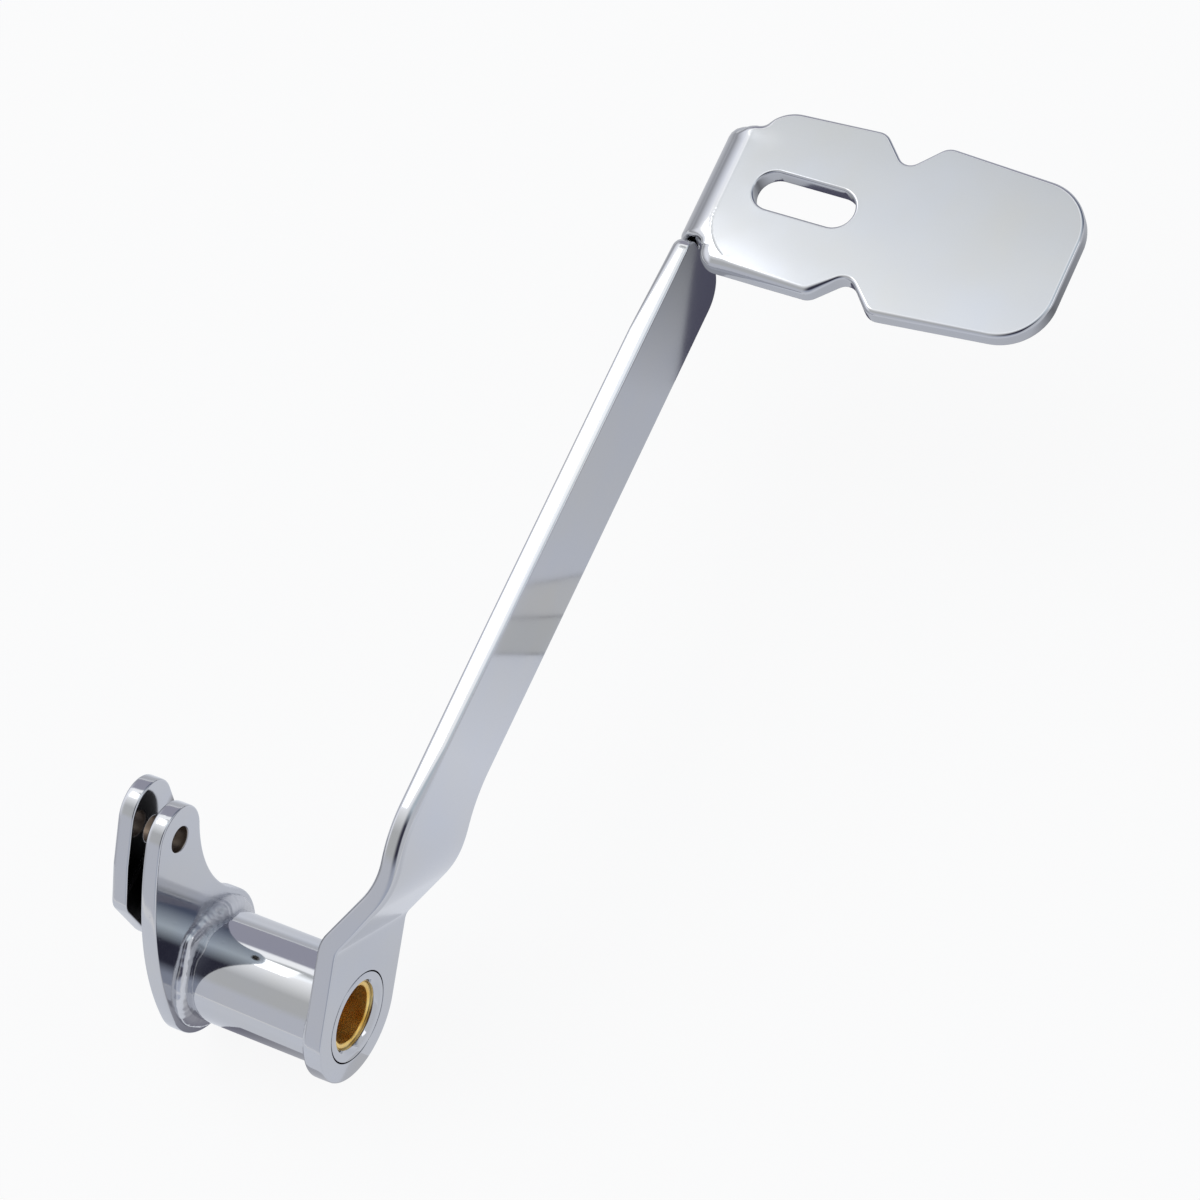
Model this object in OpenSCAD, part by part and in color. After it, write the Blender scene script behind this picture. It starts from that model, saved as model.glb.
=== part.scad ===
// Rear brake pedal for the right side of a motorcycle, in millimetres.
// The origin is the middle of the pivot bore. +X runs along the blade to the foot pad,
// +Y points inboard, from the lever's eye to the clevis, and +Z is up, square to the pad.

/* [Pivot] */
// Distance from the eye's outboard face to the clevis plate's inboard face
pivot_len = 49; // [46:0.5:56]
// Outside diameter of the pivot tube
tube_d = 30.9; // [30:0.1:34]
// Diameter of the turned spigots at the tube's ends
spigot_d = 25.4; // [24:0.1:26]
// Bore of the tube, where the bushings are pressed in
bushing_seat_d = 19.05; // [18.5:0.05:19.5]
// Bore of the bushings, which is the running fit on the pivot shaft
pivot_bore_d = 15.875; // [15:0.005:16.5]
// Length of one bushing
bushing_len = 19.05; // [15:0.05:20]
// Depth of a bushing's end below the face of the tube
bushing_recess = 1.75; // [1.2:0.05:3]

/* [Lever] */
// Thickness of the lever's plate
plate_t = 5.5; // [5:0.1:6]
// Radius of the eye, and half the width of the arm that leaves it
eye_r = 18.3; // [17.5:0.1:19]
// Angle at which the arm leaves the eye, above the line of the blade
arm_rise = 38.2; // [37:0.1:39]
// Angle of each of the two bends that joggle the arm outboard
joggle_angle = 32.4; // [30:0.1:34]
// Distance from the pivot to the first bend line
first_bend = 24.2; // [23.5:0.1:25]
// How far the blade's outboard face lies outboard of the eye's
joggle_depth = 13.44; // [13:0.01:14]
// Inside radius of the first bend
first_bend_r = 5; // [3:0.5:5]
// Inside radius of the second bend
second_bend_r = 22.5; // [10:0.5:24]

/* [Blade] */
// Height of the blade's lower edge above the pivot axis
blade_low = 22.0; // [21.5:0.1:23]
// Width of the blade
blade_w = 29.94; // [29:0.01:31]
// Distance from the pivot to the blade's lower end
blade_end = 217; // [215.5:0.5:219]
// Radius of the blade's lower end corner
blade_end_r = 9; // [4:0.5:10]
// Radius of the arm's upper edge, where it runs into the blade
upper_sweep_r = 26; // [22:1:28]
// Radius of the arm's lower edge, where it runs into the blade
lower_sweep_r = 30; // [25:1:34]

/* [Fold] */
// Inside radius of the fold between blade and pad
fold_r = 3.3; // [3:0.1:4]
// Distance from the pivot to the rear end of the fold
fold_start = 214.8; // [214:0.1:215]
// Length of the fold
fold_len = 35; // [34:0.5:36]
// Height of the lower edge of the tongue that carries the fold
tongue_low = 37; // [35:0.5:39]

/* [Pad] */
// Height of the pad's top above the pivot axis
pad_top = 54.4; // [54.2:0.1:55.5]
// Rear edge of the pad
pad_rear = 207.3; // [207:0.1:208]
// Width of the pad, along the blade
pad_w = 49.9; // [49:0.1:51]
// Distance from the eye's outboard face to the pad's outboard end
pad_reach = 112.4; // [110:0.1:116]
// Depth of the notches in the pad's two sides
notch_depth = 7.2; // [6:0.1:8]
// Distance from the eye's outboard face to the middle of the notches
notch_mid = 59.4; // [58:0.1:61]
// Width of the slot in the pad
slot_w = 11.04; // [10:0.02:12]
// Length of the slot between the centres of its round ends
slot_span = 17.6; // [14:0.1:18]
// Distance from the eye's outboard face to the middle of the slot
slot_mid = 38.26; // [37.5:0.02:39]

/* [Clevis] */
// Thickness of the clevis plate and of its second ear
clevis_t = 4.5; // [4:0.1:5]
// Gap between the plate and the ear
clevis_gap = 4.2; // [4.1:0.1:5]
// Radius of the clevis plate round the pivot
hub_r = 20.3; // [20:0.1:21]
// Radius of the clevis plate's end round the pin hole
lug_r = 9.3; // [8.5:0.1:10]
// Diameter of the clevis pin hole
pin_d = 7; // [6:0.1:8]

/* [Hidden] */
$fn = 96;
arc_step = 5;
cut = 1;
steel = "silver";
bronze = "goldenrod";
bead = "gainsboro";

// Places along Y, the pivot axis
eye_y = -pivot_len / 2;
plate_y = pivot_len / 2 - clevis_t;
gap_y = pivot_len / 2;
ear_y = gap_y + clevis_gap;

// Chamfers at the mouths of the tube and of the bushings
tube_chamfer = 0.875;
bushing_chamfer = 0.4;

// Joggle, measured along the arm from the pivot
second_bend = first_bend + joggle_depth / tan(joggle_angle);
blade_y = -joggle_depth;
blade_top = blade_low + blade_w;

// Fold, whose centre line runs along X
fold_outer_r = fold_r + plate_t;
fold_y = blade_y - fold_r;
fold_z = pad_top - fold_outer_r;
fold_end = fold_start + fold_len;
fold_flat = 2;
fold_lap = 1;
fold_relief = 0.02;

// Pad outline
pad_front = pad_rear + pad_w;
notch_round = 3.5;
notch_shoulder = 4.5;
notch_sharp = notch_depth + notch_round * (sqrt(2) - 1);
notch_stagger = 0.9;
pad_flare_rear = 0.5;
pad_flare_front = 0.7;
pad_taper_rear = 4;
pad_taper_front = 1.5;
pad_corner_r = 14.4;
pad_heel_r = 7;
slot_x = (pad_rear + pad_front) / 2 + 0.3;

// Clevis: the pin hole, and the discs that the ear's outline runs round, as [x, z, radius]
pin = [17.3, 48.06];
plate_bow_r = 90;
plate_waist_r = 37.7;
spacer = [7.5, 22];
spacer_r = 9;
spacer_bead = 1.4;
ear_foot = [8.5, 24, 12.4];
ear_lug = [20.6, 51.8, 8.95];
ear_brow = [8.7, 46.3, 5.2];
ear_shoulder = [1.5, 38.6, 5];

// Weld beads: legs on the tube and on the plate it meets, and how far the bead bulges
plate_bead = [3.5, 3.8];
eye_bead = [1.8, 1.8];

function unit(v) = v / norm(v);
function flat(p) = [p.x, p.y];
function turned(v, a) = [v.x * cos(a) - v.y * sin(a), v.x * sin(a) + v.y * cos(a)];

// Points along an arc about c, from angle a0 to angle a1
function arc(c, r, a0, a1) =
    let (n = max(2, ceil(abs(a1 - a0) / arc_step)))
    [for (i = [0:n]) flat(c) + r * [cos(a0 + (a1 - a0) * i / n), sin(a0 + (a1 - a0) * i / n)]];

// The angle nearest to a that points the same way as b
function near(a, b) = a + (b - a + 540) % 360 - 180;
function angle_of(v) = atan2(v.y, v.x);

// One corner of an outline, rounded to radius r
function corner(before, at, after, r) =
    let (
        a = unit(before - at),
        b = unit(after - at),
        half = acos(a * b) / 2,
        centre = at + unit(a + b) * r / sin(half),
        start = angle_of(at + a * r / tan(half) - centre),
        stop = angle_of(at + b * r / tan(half) - centre)
    )
    arc(centre, r, start, near(start, stop));

// An outline through corners [x, y, radius], where radius 0 leaves the corner sharp
function rounded(p) =
    let (n = len(p))
    [for (i = [0:n - 1])
        each p[i].z == 0 ? [flat(p[i])]
            : corner(flat(p[(i + n - 1) % n]), flat(p[i]), flat(p[(i + 1) % n]), p[i].z)];

// A belt pulled round discs [x, y, radius] that are listed counterclockwise
function belt_normal(p, q) = angle_of(q - p) - acos((p.z - q.z) / norm(flat(q - p)));
function belt(d) =
    let (n = len(d))
    [for (i = [0:n - 1])
        let (
            start = belt_normal(d[(i + n - 1) % n], d[i]),
            stop = belt_normal(d[i], d[(i + 1) % n])
        )
        each arc(d[i], d[i].z, start, start + (stop - start + 720) % 360)];

// Centre of a circle at distance r0 from the pivot and r1 from the pin, on the +X side
function beside_pin(r0, r1) =
    let (
        d = norm(pin),
        along = (r0 * r0 - r1 * r1 + d * d) / (2 * d),
        across = sqrt(r0 * r0 - along * along)
    )
    along * unit(pin) + across * turned(unit(pin), -90);

// Lays an outline in the XZ plane and gives it thickness from y upwards
module wall_y(y, thickness)
    translate([0, y + thickness, 0]) rotate([90, 0, 0]) linear_extrude(thickness) children();

// Turns a profile of [radius, y] round the pivot axis
module turned_part(profile) rotate([-90, 0, 0]) rotate_extrude() polygon(profile);

// A round hole or bar along Y, at [x, z]
module bar_y(at, r, y0, y1)
    translate([at.x, y0, at.y]) rotate([-90, 0, 0]) cylinder(h = y1 - y0, r = r);

// The lever below the fold, seen on its edge: flat at the eye, bent outboard, then flat in
// the blade's plane
module joggle_edge() {
    half = tan(joggle_angle / 2);
    outer_r = second_bend_r + plate_t;
    lead = [first_bend - first_bend_r * half, -first_bend_r];
    trail = [second_bend + outer_r * half, blade_y + outer_r];
    polygon(concat(
        [[-eye_r - cut, 0]],
        arc(lead, first_bend_r, 90, 90 - joggle_angle),
        arc(trail, outer_r, 270 - joggle_angle, 270),
        [[fold_end, blade_y], [fold_end, blade_y + plate_t]],
        arc(trail, second_bend_r, 270, 270 - joggle_angle),
        arc(lead, first_bend_r + plate_t, 90 - joggle_angle, 90),
        [[-eye_r - cut, plate_t]]
    ));
}

// The lever below the fold, seen from its side: eye, arm, blade and the tongue under the pad
module arm_outline() {
    along = [cos(arm_rise), sin(arm_rise)];
    across = turned(along, 90);
    upper_c = blade_top - upper_sweep_r;
    upper_u = (upper_c - (eye_r - upper_sweep_r) * across.y) / along.y;
    lower_c = blade_low - lower_sweep_r;
    lower_u = (lower_c + (eye_r + lower_sweep_r) * across.y) / along.y;
    tongue_fillet = 6;
    tongue_r = 5;
    polygon(concat(
        arc([0, 0], eye_r, 90 + arm_rise, 270 + arm_rise),
        arc(lower_u * along - (eye_r + lower_sweep_r) * across, lower_sweep_r, 90 + arm_rise, 90),
        corner([0, blade_low], [blade_end, blade_low], [blade_end, tongue_low], blade_end_r),
        corner([blade_end, blade_low], [blade_end, tongue_low], [fold_end, tongue_low], tongue_fillet),
        corner([blade_end, tongue_low], [fold_end, tongue_low], [fold_end, fold_z], tongue_r),
        [[fold_end, fold_z - fold_lap], [fold_start, fold_z - fold_lap], [fold_start, blade_top]],
        arc(upper_u * along + (eye_r - upper_sweep_r) * across, upper_sweep_r, 90, 90 + arm_rise)
    ));
}

// The fold seen along X, with a short flat on each side of it. The lower flat widens very
// slightly towards its end, where it closes over the blade's two faces.
module fold_edge() {
    centre = [fold_y, fold_z];
    polygon(concat(
        [[blade_y - fold_relief, fold_z - fold_flat]],
        [[blade_y + plate_t + fold_relief, fold_z - fold_flat]],
        arc(centre, fold_outer_r, 0, 90),
        [[fold_y - fold_flat, pad_top], [fold_y - fold_flat, pad_top - plate_t]],
        arc(centre, fold_r, 90, 0)
    ));
}

// The pad seen from above
module pad_outline() {
    rear_notch = -notch_mid + notch_stagger;
    front_notch = -notch_mid - notch_stagger;
    polygon(rounded([
        [fold_start, fold_y - fold_lap, 0],
        [pad_rear, fold_y, pad_heel_r],
        [pad_rear, rear_notch + notch_sharp, notch_shoulder],
        [pad_rear + notch_sharp, rear_notch, notch_round],
        [pad_rear - pad_flare_rear, rear_notch - notch_sharp, notch_shoulder],
        [pad_rear + pad_taper_rear, -pad_reach, pad_corner_r],
        [pad_front - pad_taper_front, -pad_reach, pad_corner_r],
        [pad_front + pad_flare_front, front_notch - notch_sharp, notch_shoulder],
        [pad_front - notch_sharp, front_notch, notch_round],
        [pad_front, front_notch + notch_sharp, notch_shoulder],
        [pad_front - 1.5, fold_y - 6.6, 10],
        [fold_end, fold_y - 1.6, 3.2],
        [fold_end, fold_y - fold_lap, 0]
    ]));
}

// Everything below the fold, bent along lines square to the arm
module arm() intersection() {
    wall_y(blade_y - cut, joggle_depth + plate_t + 2 * cut) arm_outline();
    rotate([0, -arm_rise, 0]) translate([0, 0, -fold_end]) linear_extrude(2 * fold_end) joggle_edge();
}

// The lever: eye, joggled arm, blade, fold and pad, cut and bent from one plate
module lever() {
    slot_r = slot_w / 2;
    color(steel) translate([0, eye_y, 0]) difference() {
        union() {
            arm();
            translate([fold_start, 0, 0]) rotate([90, 0, 90]) linear_extrude(fold_len) fold_edge();
            translate([0, 0, pad_top - plate_t]) linear_extrude(plate_t) pad_outline();
        }
        bar_y([0, 0], spigot_d / 2, -cut, plate_t + cut);
        translate([slot_x, -slot_mid, pad_top - plate_t - cut]) {
            for (end = [-1, 1])
                translate([0, end * slot_span / 2, 0]) cylinder(h = plate_t + 2 * cut, r = slot_r);
            translate([-slot_r, -slot_span / 2, 0]) cube([slot_w, slot_span, plate_t + 2 * cut]);
        }
    }
}

// The tube that turns on the frame's pivot shaft, stepped down at both ends
module pivot_tube() {
    seat_r = bushing_seat_d / 2;
    spigot_r = spigot_d / 2;
    tube_r = tube_d / 2;
    color(steel) turned_part([
        [seat_r, eye_y + tube_chamfer],
        [seat_r + tube_chamfer, eye_y],
        [spigot_r, eye_y],
        [spigot_r, eye_y + plate_t],
        [tube_r, eye_y + plate_t],
        [tube_r, plate_y],
        [spigot_r, plate_y],
        [spigot_r, gap_y],
        [seat_r + tube_chamfer, gap_y],
        [seat_r, gap_y - tube_chamfer]
    ]);
}

// A plain sleeve from y to y + bushing_len, chamfered at its bore and at its outer edges
module bushing(y) {
    r = pivot_bore_d / 2;
    seat_r = bushing_seat_d / 2;
    c = bushing_chamfer;
    stop = y + bushing_len;
    color(bronze) turned_part([
        [r, y + c], [r + c, y], [seat_r - c, y], [seat_r, y + c],
        [seat_r, stop - c], [seat_r - c, stop], [r + c, stop], [r, stop - c]
    ]);
}
module bushing_outboard() bushing(eye_y + bushing_recess);
module bushing_inboard() bushing(gap_y - bushing_recess - bushing_len);

// The plate on the tube's inboard end, a hub and a lug joined by a bowed edge and a waisted one
module plate_outline() {
    bow = beside_pin(plate_bow_r - hub_r, plate_bow_r - lug_r);
    waist = beside_pin(plate_waist_r + hub_r, plate_waist_r + lug_r);
    hub_bow = near(180, angle_of(-bow));
    lug_bow = near(180, angle_of(pin - bow));
    hub_waist = angle_of(waist);
    lug_waist = angle_of(waist - pin);
    polygon(concat(
        arc([0, 0], hub_r, hub_bow, hub_waist + 360),
        arc(waist, plate_waist_r, near(180, angle_of(-waist)), near(180, angle_of(pin - waist))),
        arc(pin, lug_r, lug_waist, lug_bow),
        arc(bow, plate_bow_r, lug_bow, hub_bow)
    ));
}
module clevis_plate() color(steel) difference() {
    wall_y(plate_y, clevis_t) plate_outline();
    bar_y([0, 0], spigot_d / 2, plate_y - cut, gap_y + cut);
    bar_y(pin, pin_d / 2, plate_y - cut, gap_y + cut);
}

// The second ear of the clevis, inboard of the plate
module clevis_ear() color(steel) difference() {
    wall_y(ear_y, clevis_t) polygon(belt([ear_foot, ear_lug, ear_brow, ear_shoulder]));
    bar_y(pin, pin_d / 2, ear_y - cut, ear_y + clevis_t + cut);
}

// The round slug that holds the ear off the plate
module clevis_spacer() color(steel) bar_y(spacer, spacer_r, gap_y, ear_y);

// A fillet bead round the tube, with a leg along the tube and one out along the plate.
// side is 1 where the plate lies inboard of the bead, and -1 where it lies outboard.
module bead_ring(y, side, legs) {
    tube_r = tube_d / 2;
    bulge = 0.62;
    color(bead) turned_part([
        [tube_r, y],
        [tube_r, y - side * legs.x],
        [tube_r + bulge * legs.y, y - side * bulge * legs.x],
        [tube_r + legs.y, y]
    ]);
}
module weld_eye() bead_ring(eye_y + plate_t, -1, eye_bead);
module weld_plate() bead_ring(plate_y, 1, plate_bead);

// The bead that fills the groove round the lower half of the spacer
module weld_spacer() color(bead)
    translate([spacer.x, gap_y, spacer.y]) rotate([-90, 0, 0]) rotate_extrude(angle = 150, start = 15)
        translate([spacer_r, 0]) square([spacer_bead, clevis_gap]);

lever();
pivot_tube();
bushing_outboard();
bushing_inboard();
clevis_plate();
clevis_ear();
clevis_spacer();
weld_eye();
weld_plate();
weld_spacer();
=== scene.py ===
# %% [markdown]
# # A chromed rear brake pedal
# This part was cut from flat steel plate, bent, welded to a turned tube, polished and plated.
# The CAD model fixes every size. Here each piece is made again as a finer mesh, with the rounded,
# polished edges that make chrome look like chrome, and then it gets its finish.

# %% Load the frame and keep its box
import bmesh
import bpy
import math
import numpy as np
from mathutils import Matrix, Vector, geometry


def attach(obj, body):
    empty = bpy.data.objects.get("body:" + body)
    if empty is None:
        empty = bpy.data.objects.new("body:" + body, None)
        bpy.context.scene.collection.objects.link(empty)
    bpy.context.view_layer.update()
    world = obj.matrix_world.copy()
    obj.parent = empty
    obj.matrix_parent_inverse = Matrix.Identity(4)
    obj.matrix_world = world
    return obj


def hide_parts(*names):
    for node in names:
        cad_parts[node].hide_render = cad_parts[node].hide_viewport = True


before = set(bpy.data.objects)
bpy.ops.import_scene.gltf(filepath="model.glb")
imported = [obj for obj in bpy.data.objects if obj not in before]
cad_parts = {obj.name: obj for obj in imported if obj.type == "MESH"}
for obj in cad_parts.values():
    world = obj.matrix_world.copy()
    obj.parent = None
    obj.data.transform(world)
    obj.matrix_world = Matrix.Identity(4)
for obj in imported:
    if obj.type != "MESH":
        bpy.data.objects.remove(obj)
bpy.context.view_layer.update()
scene = bpy.context.scene
MM = 0.001                    # one millimetre in Blender's metres
print("CAD nodes:", sorted(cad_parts))

# %% [markdown]
# ## Camera
# The photograph was taken from above and from the foot's side, with a long lens.
# The camera's own axes are written out, because its picture plane stands at the same
# angles as the real one, and that decides the slant of every edge.

# %% Camera
LENS, SENSOR = 117.9, 36.0    # mm
CAMERA_AT = (-0.16054, -0.43927, 0.92577)
camera_data = bpy.data.cameras.new("camera")
camera_data.sensor_width = SENSOR
camera_data.lens = LENS
camera_data.clip_end = 50.0
camera = bpy.data.objects.new("camera", camera_data)
scene.collection.objects.link(camera)
right = Vector((0.41274, -0.8751, -0.25266))
up = Vector((0.86831, 0.29425, 0.39933))
back = right.cross(up).normalized()
turn = Matrix((right, up, back)).transposed().to_4x4()
camera.matrix_world = Matrix.Translation(CAMERA_AT) @ turn
scene.camera = camera
print("camera looks along", tuple(round(-c, 3) for c in back))

# %% [markdown]
# ## Node helpers
# Materials are built from nodes in code. A few small helpers keep that short: one adds a node and
# sets its plain values, one joins two sockets, and the rest make the steps that come again and
# again, such as mapping a value to a range, mixing two colours or painting a row of colours.

# %% Node helpers
def add(t, kind, **values):
    """Adds a node, and sets its attributes or its inputs by name."""
    node = t.nodes.new(kind)
    for key, value in values.items():
        if hasattr(node, key):
            setattr(node, key, value)
        else:
            node.inputs[key.replace("_", " ")].default_value = value
    return node


def join(t, source, target):
    """Links an output to an input."""
    t.links.new(source, target)


def fill_in(t, socket, value):
    """Gives an input a plain number, or what another socket sends."""
    if isinstance(value, (int, float)):
        socket.default_value = value
    else:
        join(t, value, socket)


def emptied(owner):
    """The empty node tree of a new material or world."""
    owner.use_nodes = True
    owner.node_tree.nodes.clear()
    return owner.node_tree


def ranged(t, value, low, high, bottom=0.0, top=1.0, course="LINEAR"):
    """Maps a value from one range to another, and stops at its ends."""
    node = add(t, "ShaderNodeMapRange", interpolation_type=course, From_Min=low, From_Max=high,
               To_Min=bottom, To_Max=top)
    join(t, value, node.inputs["Value"])
    return node.outputs[0]


def times(t, *values):
    """Multiplies values together."""
    result = values[0]
    for value in values[1:]:
        node = add(t, "ShaderNodeMath", operation="MULTIPLY")
        fill_in(t, node.inputs[0], result)
        fill_in(t, node.inputs[1], value)
        result = node.outputs[0]
    return result


def axes_of(t, kind="Object"):
    """A point's coordinates, as one socket and as three."""
    where = add(t, "ShaderNodeTexCoord").outputs[kind]
    split = add(t, "ShaderNodeSeparateXYZ")
    join(t, where, split.inputs[0])
    return where, split.outputs


def mix(t, share, first, second):
    """Mixes two colours; each is a socket or a plain colour."""
    node = add(t, "ShaderNodeMix", data_type="RGBA")
    join(t, share, node.inputs["Factor"])
    for socket, colour in ((node.inputs[6], first), (node.inputs[7], second)):
        if isinstance(colour, tuple):
            socket.default_value = (*colour, 1)
        else:
            join(t, colour, socket)
    return node.outputs[2]


def painted(t, value, stops):
    """A row of colours along a value, from rising stops of (value, colour)."""
    low, high = stops[0][0], stops[-1][0]
    row = add(t, "ShaderNodeValToRGB")
    join(t, ranged(t, value, low, high), row.inputs[0])
    marks = row.color_ramp.elements
    for k, (at, colour) in enumerate(stops):
        spot = (at - low) / (high - low)
        mark = marks[0] if k == 0 else marks[-1] if k == len(stops) - 1 else marks.new(spot)
        mark.position = spot
        mark.color = (*colour, 1)
    return row.outputs[0]


# %% [markdown]
# ## Stage
# Chrome has no colour of its own to speak of: it shows the room. So the room is planned like a
# product photographer's table, with pale paper under the part, walls hung with a few plain cloths
# and boards, and soft boxes. Glowing cards on the table, which only the metal sees, give the faces
# that look down painted reflections, and the darkest of them are painted shadows of the pad and
# tube.
# The paper gives most of its white by itself, so that no lamp has to burn the part out.

# %% Floor
FLOOR_Z, FLOOR_HALF = -0.0206, 6
PAPER, GLOW = (0.86, 0.86, 0.87), 0.90    # its colour, and the share of white that needs no lamp
floor_mesh = bpy.data.meshes.new("floor")
floor_mesh.from_pydata([(x * FLOOR_HALF, y * FLOOR_HALF, FLOOR_Z)
                        for x, y in ((-1, -1), (1, -1), (1, 1), (-1, 1))], [], [(0, 1, 2, 3)])
floor = bpy.data.objects.new("floor", floor_mesh)
scene.collection.objects.link(floor)
paper = bpy.data.materials.new("floor paper")
t = emptied(paper)
rays = add(t, "ShaderNodeLightPath")
seen = rays.outputs["Is Camera Ray"]
for kind in ("Is Glossy Ray", "Is Transmission Ray"):
    either = add(t, "ShaderNodeMath", operation="ADD", use_clamp=True)
    join(t, seen, either.inputs[0])
    join(t, rays.outputs[kind], either.inputs[1])
    seen = either.outputs[0]
matte = add(t, "ShaderNodeBsdfDiffuse", Color=(*PAPER, 1))
white = add(t, "ShaderNodeEmission", Color=(1, 1, 1, 1), Strength=1.0)
mixed = add(t, "ShaderNodeMixShader")
for source, target in zip((times(t, seen, GLOW), *matte.outputs, *white.outputs), mixed.inputs):
    join(t, source, target)
join(t, mixed.outputs[0], add(t, "ShaderNodeOutputMaterial").inputs["Surface"])
floor_mesh.materials.append(paper)
print("floor at", FLOOR_Z)

# %% [markdown]
# The room has two long walls, hung with plain cloths and boards one beside the other, an end wall
# beyond each end of the pivot's bore, and a ceiling.

# %% What hangs in the room
PALE, DUSK = (0.71, 0.73, 0.79), (0.54, 0.58, 0.68)           # bare wall, and in shade
MIDDLE, GREY = (0.65, 0.66, 0.66), (0.45, 0.45, 0.53)         # cloths
SLATE, BLACK = (0.15, 0.18, 0.26), (0.05, 0.05, 0.08)         # boards that keep light off
SCREEN, BRIGHT = (0.90, 1.00, 1.06), (1.45, 1.46, 1.46)       # sheets with a lamp behind them
OUTBOARD = (0.74, 0.76, 0.80)
CEILING_LIGHT, CEILING_DARK = (1.56, 1.60, 1.62), (0.68, 0.70, 0.70)
# Each entry is an angle from straight up, plus towards the pad, and what hangs there
back_wall = ((-180, PALE), (-58, PALE), (-46, MIDDLE), (-20, MIDDLE), (18, BRIGHT), (43, BRIGHT),
             (46, GREY), (92, GREY), (118, PALE), (180, PALE))
front_wall = ((-180, PALE), (-100, DUSK), (-68, DUSK), (-46, BLACK), (-10, BLACK), (18, SCREEN),
              (62, SLATE), (84, SLATE), (130, PALE), (180, PALE))
# The inboard end wall's grey by height, from straight down (-1) to straight up (1)
inboard_wall = ((-1, 0.75), (-0.15, 0.68), (0.16, 0.45), (0.56, 1.17), (1, 1.35))
print("back wall", len(back_wall), "marks, front wall", len(front_wall))

# %% World
world = bpy.data.worlds.new("studio")
scene.world = world
t = emptied(world)
where, way = axes_of(t, "Generated")
round_y = add(t, "ShaderNodeMath", operation="ARCTAN2")
join(t, way["X"], round_y.inputs[0])
join(t, way["Z"], round_y.inputs[1])
rear, fore = (painted(t, round_y.outputs[0], [(math.radians(a), colour) for a, colour in wall])
              for wall in (back_wall, front_wall))
room = mix(t, ranged(t, way["Y"], -0.30, 0.25, course="SMOOTHSTEP"), fore, rear)
# The two end walls: dark low down on the inboard side, even on the outboard side
end_wall = painted(t, way["Z"], [(z, (g * 0.98, g, g * 1.06)) for z, g in inboard_wall])
room = mix(t, ranged(t, way["Y"], 0.52, 0.72, course="SMOOTHSTEP"), room, end_wall)
room = mix(t, ranged(t, way["Y"], -0.55, -0.75, course="SMOOTHSTEP"), room, OUTBOARD)
# Over the pad hangs a white ceiling that darkens towards the pad's front
facing = add(t, "ShaderNodeVectorMath", operation="DOT_PRODUCT")
facing.inputs[1].default_value = Vector((0.39, 0.34, 0.857)).normalized()
join(t, where, facing.inputs[0])
rim, middle = math.cos(math.radians(10)), math.cos(math.radians(7))
overhead = ranged(t, facing.outputs["Value"], rim, middle, course="SMOOTHSTEP")
ceiling = mix(t, ranged(t, way["X"], 0.33, 0.44), CEILING_LIGHT, CEILING_DARK)
room = mix(t, overhead, room, ceiling)
# The camera itself sees plain white paper behind the part
room = mix(t, add(t, "ShaderNodeLightPath").outputs["Is Camera Ray"], room, (1.0, 1.0, 1.0))
sky = add(t, "ShaderNodeBackground", Strength=1.0)
join(t, room, sky.inputs["Color"])
join(t, sky.outputs[0], add(t, "ShaderNodeOutputWorld").inputs["Surface"])
scene.view_settings.view_transform = "Standard"
print("studio has", len(t.nodes), "nodes")


# %% [markdown]
# A large soft box above the blade and a small one in front give the bright streaks.

# %% Soft boxes
def soft_box(name, at, aim, width, height, radiance):
    """An area lamp whose face is as bright as radiance says."""
    data = bpy.data.lights.new(name, "AREA")
    data.shape = "RECTANGLE"
    data.size, data.size_y = width, height
    data.energy = radiance * math.pi * width * height
    lamp = bpy.data.objects.new(name, data)
    scene.collection.objects.link(lamp)
    lamp.location = at
    lamp.rotation_euler = (Vector(aim) - Vector(at)).to_track_quat("-Z", "Y").to_euler()
    print(name, "faces the part from", at)


soft_box("soft box over the blade", (0.54, 0.70, 1.40), (0.54, 0.04, 0.03), 0.52, 0.36, 1.64)
soft_box("soft box at the front", (0.9, -1.9, 1.0), (0.1, -0.05, 0.0), 0.5, 0.5, 1.0)


# %% [markdown]
# Cards lie just above the paper. They glow, light nothing, and only metal sees them: they are
# painted reflections that the faces looking down mirror, so that these stay off plain white.

# %% Cards
def card(name, corners, height, paint):
    """A glowing card, in mm, that only polished metal sees: a painted reflection. paint is a
    colour, or makes one.
    """
    mesh = bpy.data.meshes.new(name)
    mesh.from_pydata([(x * MM, y * MM, height * MM) for x, y in corners], [], [range(len(corners))])
    obj = bpy.data.objects.new(name, mesh)
    scene.collection.objects.link(obj)
    material = bpy.data.materials.new(name)
    t = emptied(material)
    glow = add(t, "ShaderNodeEmission", Strength=1.0)
    if callable(paint):
        join(t, paint(t), glow.inputs["Color"])
    else:
        glow.inputs["Color"].default_value = (*paint, 1)
    join(t, glow.outputs[0], add(t, "ShaderNodeOutputMaterial").inputs["Surface"])
    mesh.materials.append(material)
    obj.visible_camera = obj.visible_diffuse = obj.visible_shadow = False
    obj.visible_transmission = obj.visible_volume_scatter = False
    print(name, "lies at", height, "mm")


def shaded(axis, *stops):
    """Paint that changes along an axis, from rising stops of (metres, colour)."""
    def paint(t):
        return painted(t, axes_of(t)[1][axis], stops)
    return paint
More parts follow.
